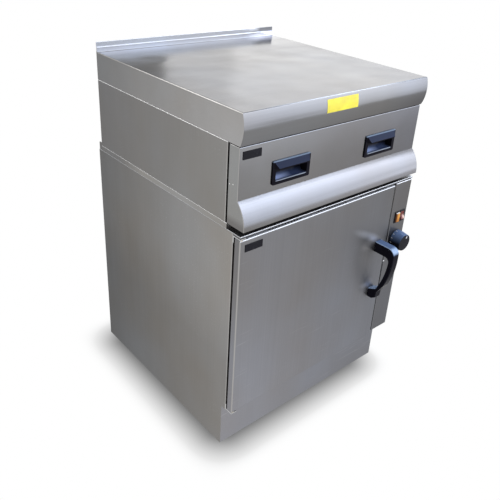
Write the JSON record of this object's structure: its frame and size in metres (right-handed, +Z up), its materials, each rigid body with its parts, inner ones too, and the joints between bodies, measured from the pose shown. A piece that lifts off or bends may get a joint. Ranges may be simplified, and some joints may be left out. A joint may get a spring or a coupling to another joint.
{
  "type": "convection oven",
  "caption": "Free-standing stainless convection oven with a side-hung door, a control panel beside it and a drawer worktop unit with a rolled front standing on its deck.",
  "frame": {"origin": "floor level, under the middle of the overall box", "axes": "+Z up, front and door face -Y, +X to the viewer's right"},
  "size_m": [0.6, 0.6968, 0.925],
  "materials": {
    "stainless_brushed": "brushed stainless sheet",
    "stainless_liner": "plain stainless sheet",
    "bright_wire": "plated wire",
    "galvanised_steel": "zinc coated sheet",
    "bright_steel": "turned steel",
    "black_plastic": "moulded black plastic",
    "handle_plastic": "satin black moulding",
    "amber_lens": "amber lens",
    "red_rocker": "red lit rocker",
    "mineral_wool": "mineral wool",
    "seal_rubber": "silicone seal",
    "motor_paint": "motor body",
    "fan_aluminium": "pressed fan wheel",
    "element_sheath": "heat darkened tube",
    "brass": "turned brass and copper tube",
    "terminal_plastic": "moulded terminal block"
  },
  "bodies": {
    "cabinet": {"worktop": "stainless_brushed", "upper_left_side": "stainless_brushed", "upper_right_side": "stainless_brushed", "upper_back": "stainless_brushed", "upper_base": "stainless_brushed", "lower_left_side": "stainless_brushed", "lower_right_side": "stainless_brushed", "lower_back": "stainless_brushed", "rear_cover": "stainless_brushed", "plinth": "stainless_brushed", "top_deck": "stainless_brushed", "front_frame": "stainless_brushed", "control_panel": "stainless_brushed", "joining_brackets": "stainless_brushed", "oven_liner": "stainless_liner", "fan_baffle": "stainless_liner", "shelf_rack_left": "bright_wire", "shelf_rack_right": "bright_wire", "worktop_stiffeners": "galvanised_steel", "runner_cabinet_rails": "galvanised_steel", "base_pan": "galvanised_steel", "bay_wall": "galvanised_steel", "motor_bridge": "galvanised_steel", "foot_brackets": "galvanised_steel", "hinge_lower": "bright_steel", "hinge_upper": "bright_steel", "catch_barrel": "bright_steel", "rear_screws": "bright_steel", "levelling_feet": "bright_steel", "lamp_housing": "black_plastic", "switch_housing": "black_plastic", "thermostat": "black_plastic", "cable_gland": "black_plastic", "indicator_lamp": "amber_lens", "oven_insulation": "mineral_wool", "fan_motor": "motor_paint", "ring_element": "element_sheath", "thermostat_probe": "brass", "terminal_block": "terminal_plastic"},
    "drawer": {"drawer_front": "stainless_brushed", "drawer_box": "stainless_brushed", "drawer_pull_left": "black_plastic", "drawer_pull_right": "black_plastic", "runner_drawer_rails": "galvanised_steel"},
    "runner_middle": {"runner_middle_rails": "galvanised_steel"},
    "door": {"door_outer": "stainless_brushed", "door_inner": "stainless_brushed", "door_insulation": "mineral_wool", "door_seal": "seal_rubber", "door_handle": "handle_plastic", "handle_screws": "bright_steel", "hinge_bushes": "brass"},
    "knob": {"control_knob": "black_plastic", "thermostat_spindle": "bright_steel"},
    "rocker": {"switch_rocker": "red_rocker"},
    "fan": {"fan_impeller": "fan_aluminium", "fan_shaft": "bright_steel"},
    "shelf_lower": {"shelf_lower": "bright_wire"},
    "shelf_upper": {"shelf_upper": "bright_wire"},
    "plunger": {"catch_plunger": "bright_steel"}
  },
  "joints": [
    {"name": "drawer_slide", "type": "slide", "parent": "cabinet", "child": "drawer", "axis": [0, -1, 0], "range_m": [0, 0.45]},
    {"name": "runner_middle_slide", "type": "slide", "parent": "cabinet", "child": "runner_middle", "axis": [0, -1, 0], "range_m": [0, 0.225]},
    {"name": "door_hinge", "type": "hinge", "parent": "cabinet", "child": "door", "pos_m": [-0.294, -0.2786, 0.3805], "axis": [0, 0, -1], "range_deg": [0, 120]},
    {"name": "knob_turn", "type": "hinge", "parent": "cabinet", "child": "knob", "pos_m": [0.27, -0.3004, 0.451], "axis": [0, 1, 0], "range_deg": [0, 270]},
    {"name": "rocker_tip", "type": "hinge", "parent": "cabinet", "child": "rocker", "pos_m": [0.2805, -0.2792, 0.521], "axis": [1, 0, 0], "range_deg": [0, 24]},
    {"name": "fan_spin", "type": "hinge", "parent": "cabinet", "child": "fan", "pos_m": [-0.03275, 0.15, 0.375], "axis": [0, 1, 0], "continuous": true},
    {"name": "shelf_lower_slide", "type": "slide", "parent": "cabinet", "child": "shelf_lower", "axis": [0, -1, 0], "range_m": [0, 0.024]},
    {"name": "shelf_upper_slide", "type": "slide", "parent": "cabinet", "child": "shelf_upper", "axis": [0, -1, 0], "range_m": [0, 0.024]},
    {"name": "catch_press", "type": "slide", "parent": "cabinet", "child": "plunger", "axis": [1, 0, 0], "range_m": [0, 0.003], "stiffness_N_per_m": 1500, "springref_m": -0.002}
  ],
  "couplings": [
    {"joint": "runner_middle_slide", "follows": "drawer_slide", "ratio": 0.5}
  ]
}
